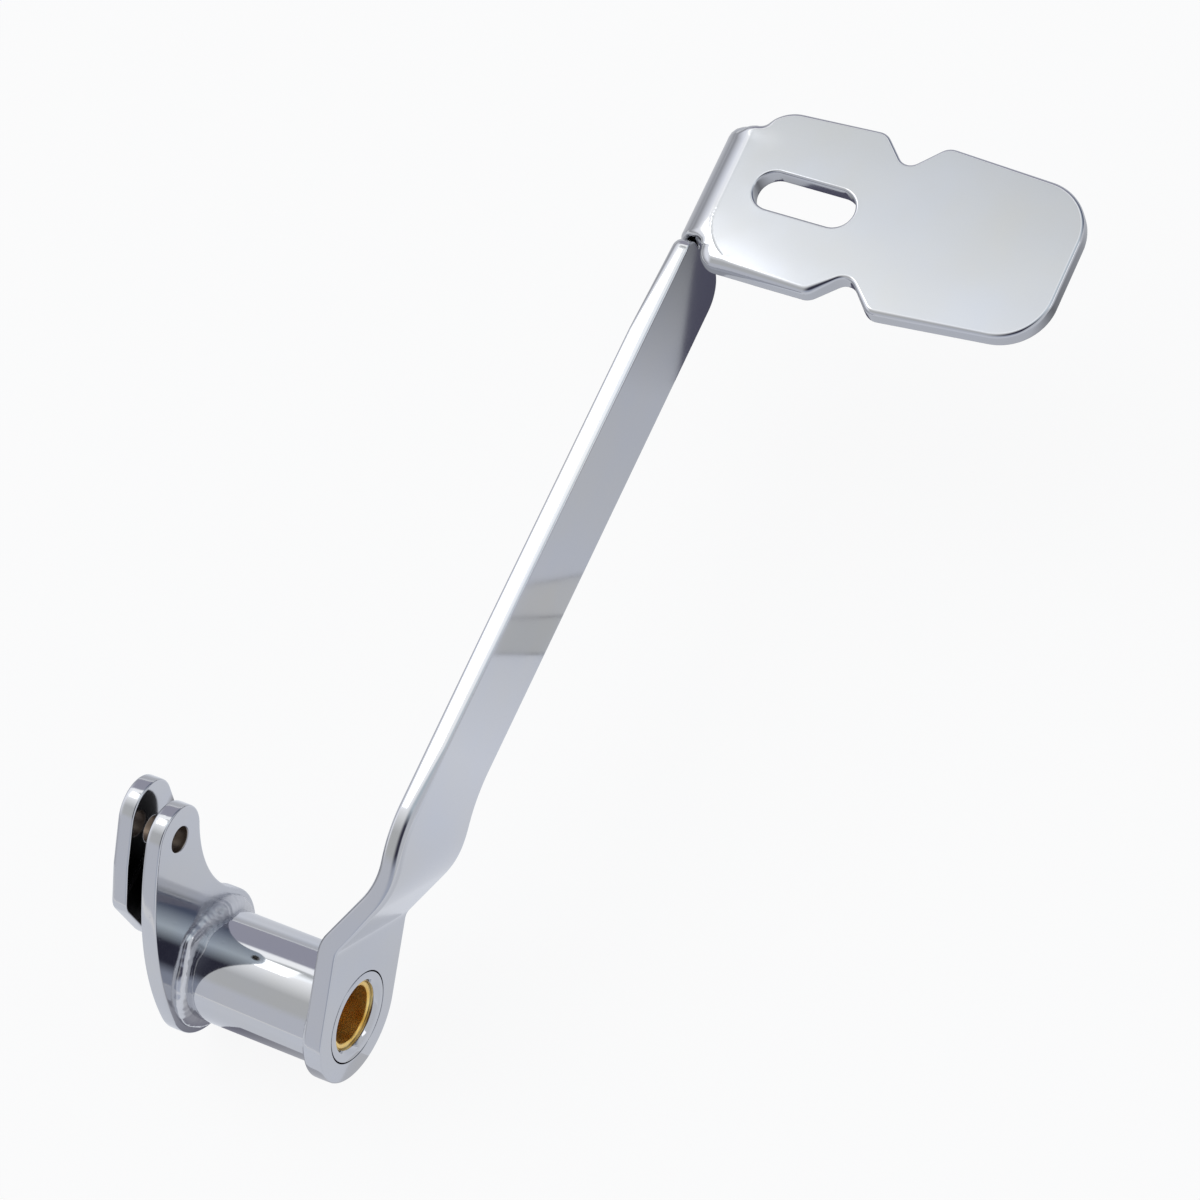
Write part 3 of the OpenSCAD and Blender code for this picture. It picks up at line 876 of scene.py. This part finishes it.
def bead_tree():
    """The Geometry Nodes tree that lays a bead: its inputs are the names in BEAD_SIZES."""
    t = bpy.data.node_groups.new("weld bead", "GeometryNodeTree")
    for name, value in BEAD_SIZES.items():
        entry = t.interface.new_socket(name, in_out="INPUT", socket_type="NodeSocketFloat")
        entry.default_value = value
    t.interface.new_socket("Finish", in_out="INPUT", socket_type="NodeSocketMaterial")
    t.interface.new_socket("Bead", in_out="OUTPUT", socket_type="NodeSocketGeometry")
    size = add(t, "NodeGroupInput").outputs
    end = add(t, "NodeGroupOutput")

    def calc(operation, a, b=0.0):
        node = add(t, "ShaderNodeMath", operation=operation)
        fill_in(t, node.inputs[0], a)
        fill_in(t, node.inputs[1], b)
        return node.outputs[0]

    def product(a, b):
        return calc("MULTIPLY", a, b)

    def bump(value, centre, width):
        """A bell that is 1 at its centre."""
        off = calc("DIVIDE", calc("SUBTRACT", value, centre), width)
        return calc("EXPONENT", product(product(off, off), -1.0))

    def total(*terms):
        result = terms[0]
        for term in terms[1:]:
            result = calc("ADD", result, term)
        return result

    # A flat grid carries the two running numbers: along the weld, and round its section
    sheet = add(t, "GeometryNodeMeshGrid", Size_X=1.0, Size_Y=1.0, Vertices_X=ALONG + 1,
                Vertices_Y=AROUND + 1)
    parts = add(t, "ShaderNodeSeparateXYZ")
    join(t, add(t, "GeometryNodeInputPosition").outputs[0], parts.inputs[0])
    turn = calc("ADD", product(calc("ADD", parts.outputs["X"], 0.5), size["Sweep"]), size["Start"])
    around = product(parts.outputs["Y"], 2 * math.pi)
    # The noise is read on the ring itself, so that a closed bead has no seam
    unit = add(t, "ShaderNodeCombineXYZ")
    join(t, calc("SINE", turn), unit.inputs["X"])
    join(t, calc("COSINE", turn), unit.inputs["Y"])
    join(t, product(calc("SINE", around), 0.15), unit.inputs["Z"])
    noise = add(t, "ShaderNodeTexNoise", noise_dimensions="4D", Scale=3.4, Detail=2.0)
    join(t, unit.outputs[0], noise.inputs["Vector"])
    join(t, size["Seed"], noise.inputs["W"])
    lump = product(calc("SUBTRACT", noise.outputs[0], 0.5), 2.0)
    # Ripples lean along the weld, and die out where the torch ran smoothly
    lean = product(calc("COSINE", around), 1.4)
    wave = calc("SINE", total(product(turn, size["Ripples"]), lean,
                              product(lump, 3.0)))
    rough_part = calc("ADD", bump(turn, 0.9, 0.9), 0.15)
    ripple = product(product(wave, rough_part), size["Ripple height"])
    # The weld ends in a crater with rings about it, where the arc was broken off
    far_x = product(calc("SUBTRACT", turn, CRATER_TURN), PER_TURN)
    far_y = product(calc("ADD", around, CRATER_ROUND), PER_ROUND)
    far = calc("SQRT", calc("ADD", product(far_x, far_x), product(far_y, far_y)))
    rings = product(calc("COSINE", product(far, 2 * math.pi / CRATER_RING)),
                 bump(far, 0.0016, CRATER_R))
    pit = calc("SUBTRACT", product(rings, 0.10), bump(far, 0.0, PIT_R))
    push = total(ripple, product(lump, size["Lump height"]),
                 product(pit, size["Crater"]))
    # The mound is where the bead is widest on the tube, the splash where it ran up the plate
    mound = product(bump(turn, 0.82, 0.36), size["Mound"])
    splash = product(bump(turn, -0.05, 0.22), size["Splash"])
    leg_out = total(size["Leg out"], splash, product(mound, 0.25), push)
    leg_along = total(size["Leg along"], mound, push)
    radius = calc("ADD", size["Ring radius"], product(calc("COSINE", around), leg_out))
    spot = add(t, "ShaderNodeCombineXYZ")
    join(t, product(radius, calc("SINE", turn)), spot.inputs["X"])
    join(t, product(calc("SINE", around), leg_along), spot.inputs["Y"])
    join(t, product(radius, calc("COSINE", turn)), spot.inputs["Z"])
    chain = sheet.outputs["Mesh"]
    for kind, values in (("SetPosition", {}), ("MergeByDistance", {"Distance": MERGE}),
                         ("SetShadeSmooth", {}), ("RealizeInstances", {}), ("SetMaterial", {})):
        node = add(t, "GeometryNode" + kind, **values)
        if kind == "SetPosition":
            join(t, spot.outputs[0], node.inputs["Position"])
        if kind == "SetMaterial":
            join(t, size["Finish"], node.inputs["Material"])
        join(t, chain, node.inputs["Geometry"])
        chain = node.outputs["Geometry"]
    join(t, chain, end.inputs["Bead"])
    return t


BEADS = bead_tree()
print("bead tree:", len(BEADS.nodes), "nodes")

# %% [markdown]
# ## Finishes
# Polished chrome is a mirror that isn't quite flat. Three things make it real: a slow waviness that
# bends reflections, a fine ripple from the buffing wheel, and patches that are a little hazier than
# the rest. All of them read Object coordinates, so they are fixed to the steel.

# %% Chrome
def raised(t, height, distance, under=None, strength=1.0):
    """Bump from a height, on top of an earlier bump."""
    node = add(t, "ShaderNodeBump", Strength=strength, Distance=distance)
    join(t, height, node.inputs["Height"])
    if under:
        join(t, under, node.inputs["Normal"])
    return node.outputs[0]


def noise(t, where, scale, detail):
    """Soft noise over a point's coordinates."""
    node = add(t, "ShaderNodeTexNoise", Scale=scale, Detail=detail)
    join(t, where, node.inputs["Vector"])
    return node.outputs[0]


def chrome(name, tint, roughness, wave, wave_scale, grain=(1, 1, 1), pits=0.0, dull=None,
           unplated_and_shade=None):
    """Polished plate. dull(t, x, y, z) adds haze, and unplated_and_shade gives (share, colour)
    of unplated steel in holes and of painted shade in gaps.
    """
    material = bpy.data.materials.new(name)
    t = emptied(material)
    where, (x, y, z) = axes_of(t)
    shine = add(t, "ShaderNodeBsdfPrincipled", Metallic=1.0)
    join(t, shine.outputs[0], add(t, "ShaderNodeOutputMaterial").inputs["Surface"])
    # Haze: the plating is a little duller in soft patches
    haze = noise(t, where, 38.0, 4.0)
    rough = ranged(t, haze, 0.35, 0.7, roughness * 0.8, roughness * 1.35)
    if dull:
        node = add(t, "ShaderNodeMath", operation="ADD", use_clamp=True)
        join(t, rough, node.inputs[0])
        join(t, dull(t, x, y, z), node.inputs[1])
        rough = node.outputs[0]
    # Tint: the colour drifts very slightly from warm to blue
    colour = mix(t, ranged(t, haze, 0.3, 0.72), (tint[0] * 1.015, tint[1], tint[2] * 0.975),
                 (tint[0] * 0.975, tint[1] * 0.985, tint[2] * 1.02))
    # Waviness, then the buffing wheel's fine ripple, which runs along the part
    normal = raised(t, noise(t, where, wave_scale, 1.0), wave)
    stretch = add(t, "ShaderNodeMapping")
    stretch.inputs["Scale"].default_value = grain
    join(t, where, stretch.inputs["Vector"])
    normal = raised(t, noise(t, stretch.outputs[0], 1400.0, 2.0), 0.000001, normal)
    if pits:
        cells = add(t, "ShaderNodeTexVoronoi", Scale=360.0)
        join(t, where, cells.inputs["Vector"])
        few = add(t, "ShaderNodeSeparateColor")
        join(t, cells.outputs["Color"], few.inputs[0])
        dent = times(t, ranged(t, cells.outputs["Distance"], 0.20, 0.08),
                     ranged(t, few.outputs[0], 0.86, 0.88))
        normal = raised(t, dent, -0.00005, normal, pits)
    # Unplated steel in the holes, and painted shade in the gap by the ear, replace the chrome's
    # colour
    if unplated_and_shade:
        share, steel = unplated_and_shade(t, x, y, z)
        colour = mix(t, share, colour, steel)
        rough = mix(t, share, rough, (0.42, 0.42, 0.42))
    join(t, rough, shine.inputs["Roughness"])
    join(t, colour, shine.inputs["Base Color"])
    join(t, normal, shine.inputs["Normal"])
    print(name, "has", len(t.nodes), "nodes")
    return material


# %% [markdown]
# Plating doesn't throw well into holes, so the clevis's pin holes kept the dark brown of unplated
# steel. The narrow gap between the plate and the ear is painted near black, painted shade over that
# unplated steel. Beside the weld the plate was never buffed, so it is hazy.

# %% Clevis and weld details
def off_axis(t, x, z, centre):
    """Distance from an axis along Y, from the Object coordinates."""
    spot = add(t, "ShaderNodeCombineXYZ")
    join(t, x, spot.inputs["X"])
    join(t, z, spot.inputs["Z"])
    gap = add(t, "ShaderNodeVectorMath", operation="DISTANCE")
    join(t, spot.outputs[0], gap.inputs[0])
    gap.inputs[1].default_value = (centre[0] * MM, 0.0, centre[1] * MM)
    return gap.outputs["Value"]


def larger(t, a, b):
    """The larger of two values."""
    node = add(t, "ShaderNodeMath", operation="MAXIMUM")
    join(t, a, node.inputs[0])
    join(t, b, node.inputs[1])
    return node.outputs[0]


def clevis_unplated_and_shade(t, x, y, z):
    """Unplated steel in the pin holes, and painted shade, near black, between the plate and the
    ear.
    """
    hole = ranged(t, off_axis(t, x, z, PIN), 0.00375, 0.00355)
    gap = times(t, ranged(t, y, 0.0243, 0.0244), ranged(t, y, 0.0288, 0.02872))
    back = times(t, ranged(t, y, 0.0262, 0.0261), ranged(t, z, 0.012, 0.018),
                 ranged(t, off_axis(t, x, z, (34, 36)), 0.036, 0.034))
    ear = times(t, ranged(t, y, 0.0261, 0.0262), ranged(t, z, 0.0475, 0.043))
    # Painted shade: the gap between the plate and the ear fades to near black over unplated brown
    inner = times(t, gap, larger(t, back, ear))
    return larger(t, hole, inner), mix(t, inner, (0.20, 0.155, 0.12), (0.012, 0.009, 0.008))


def clevis_haze(t, x, y, z):
    """Haze on the plate beside its weld, on the pad's side."""
    return times(t, ranged(t, off_axis(t, x, z, (0, 0)), 0.029, 0.021),
                 ranged(t, x, 0.004, 0.014), 0.14)


def weld_haze(t, x, y, z):
    """Haze on the part of the bead that faces the pad."""
    return times(t, ranged(t, x, 0.0, 0.008), ranged(t, y, 0.010, 0.016), 0.30)


STEEL_TINT = (0.565, 0.575, 0.60)
lever_chrome = chrome("lever chrome", STEEL_TINT, 0.10, 0.00005, 30, grain=(0.05, 1, 1))
pivot_chrome = chrome("pivot chrome", STEEL_TINT, 0.07, 0.00001, 50, pits=0.5)
clevis_chrome = chrome("clevis chrome", STEEL_TINT, 0.10, 0.00006, 60, pits=0.3,
                       dull=clevis_haze, unplated_and_shade=clevis_unplated_and_shade)
weld_chrome = chrome("weld chrome", (0.64, 0.645, 0.66), 0.16, 0.00020, 300, pits=0.3,
                     dull=weld_haze)


# %% [markdown]
# The bushings are turned from bronze. The lathe leaves fine rings, and handling leaves patches.

# %% Bronze
def bronze():
    """Turned bronze: fine rings round the bore, and a colour between gold and brown."""
    material = bpy.data.materials.new("bushing bronze")
    t = emptied(material)
    where = axes_of(t)[0]
    shine = add(t, "ShaderNodeBsdfPrincipled", Metallic=0.88, Roughness=0.24)
    join(t, shine.outputs[0], add(t, "ShaderNodeOutputMaterial").inputs["Surface"])
    cuts = add(t, "ShaderNodeTexWave", bands_direction="Y", Scale=620.0, Distortion=1.2, Detail=1.0)
    join(t, where, cuts.inputs["Vector"])
    groove = raised(t, cuts.outputs["Fac"], 0.000012, strength=0.5)
    join(t, groove, shine.inputs["Normal"])
    tone = painted(t, noise(t, where, 140.0, 4.0),
                   ((0.36, (0.74, 0.40, 0.06)), (0.64, (0.98, 0.72, 0.25))))
    join(t, tone, shine.inputs["Base Color"])
    print(material.name, "has", len(t.nodes), "nodes")
    return material


bushing_bronze = bronze()


# %% [markdown]
# Now the tree lays the three beads: the large one at the clevis plate, with its mound, splash and
# crater, a small one behind the eye, and a half ring round the slug.

# %% Lay the beads
def bead(name, y, centre=(0.0, 0.0), **sizes):
    """Runs the bead tree with these sizes, and keeps the result as a plain mesh."""
    mesh = bpy.data.meshes.new(name + " path")
    maker = bpy.data.objects.new(name + " path", mesh)
    scene.collection.objects.link(maker)
    modifier = maker.modifiers.new("bead", "NODES")
    modifier.node_group = BEADS
    sockets = {item.name: item.identifier for item in BEADS.interface.items_tree
               if item.in_out == "INPUT"}
    chosen = {key.replace("_", " "): value for key, value in sizes.items()}
    for key, value in {**BEAD_SIZES, **chosen}.items():
        modifier[sockets[key]] = value
    modifier[sockets["Finish"]] = weld_chrome
    bpy.context.view_layer.update()
    laid = maker.evaluated_get(bpy.context.evaluated_depsgraph_get())
    plain = bpy.data.meshes.new_from_object(laid)
    bpy.data.objects.remove(maker)
    plain.transform(Matrix.Translation((centre[0] * MM, y * MM, centre[1] * MM)))
    work = bmesh.new()
    work.from_mesh(plain)
    bmesh.ops.remove_doubles(work, verts=work.verts, dist=MERGE)
    ends = [e for e in work.edges if e.is_boundary]
    if ends:
        bmesh.ops.holes_fill(work, edges=ends, sides=0)
    bmesh.ops.recalc_face_normals(work, faces=work.faces)
    work.to_mesh(plain)
    work.free()
    obj = bpy.data.objects.new(name, plain)
    scene.collection.objects.link(obj)
    report(obj)
    return obj


plate_bead = bead("weld_bead_plate", PLATE_Y, Leg_out=0.0031, Leg_along=0.0024, Ripples=46.0,
                  Ripple_height=0.00004, Lump_height=0.0004, Seed=3.0, Mound=0.0018,
                  Splash=0.0016, Crater=0.0007)
eye_bead = bead("weld_bead_eye", -19.0, Leg_out=0.0015, Leg_along=0.0014, Ripples=70.0,
                Ripple_height=0.00012, Lump_height=0.0006, Seed=7.0)
spacer_bead = bead("weld_bead_slug", 26.6, centre=SLUG_AT, Ring_radius=0.009,
                   Start=math.radians(105), Sweep=math.radians(150), Leg_out=0.0013,
                   Leg_along=0.0019, Ripples=40.0, Seed=11.0)

# %% [markdown]
# ## Putting it together
# Each piece now takes the place of its CAD solid, gets its finish, and rides on the part's one
# body.
# The plan also lists the record's slot for each finish, which nothing here reads.

# %% Finish the pieces
plan = [
    (lever, "lever", "lever_chrome", lever_chrome),
    (tube, "pivot_tube", "pivot_chrome", pivot_chrome),
    (bushings[0], "bushing_outboard", "bushing_bronze", bushing_bronze),
    (bushings[1], "bushing_inboard", "bushing_bronze", bushing_bronze),
    (clevis_plate, "clevis_plate", "clevis_chrome", clevis_chrome),
    (clevis_ear, "clevis_ear", "clevis_chrome", clevis_chrome),
    (spacer, "clevis_spacer", "clevis_chrome", clevis_chrome),
    (eye_bead, "weld_eye", "weld_chrome", weld_chrome),
    (plate_bead, "weld_plate", "weld_chrome", weld_chrome),
    (spacer_bead, "weld_spacer", "weld_chrome", weld_chrome),
]
for piece, node, slot, finish in plan:
    piece.data.materials.clear()
    piece.data.materials.append(finish)
    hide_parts(node)
    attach(piece, "root")
print(len(plan), "pieces in place")
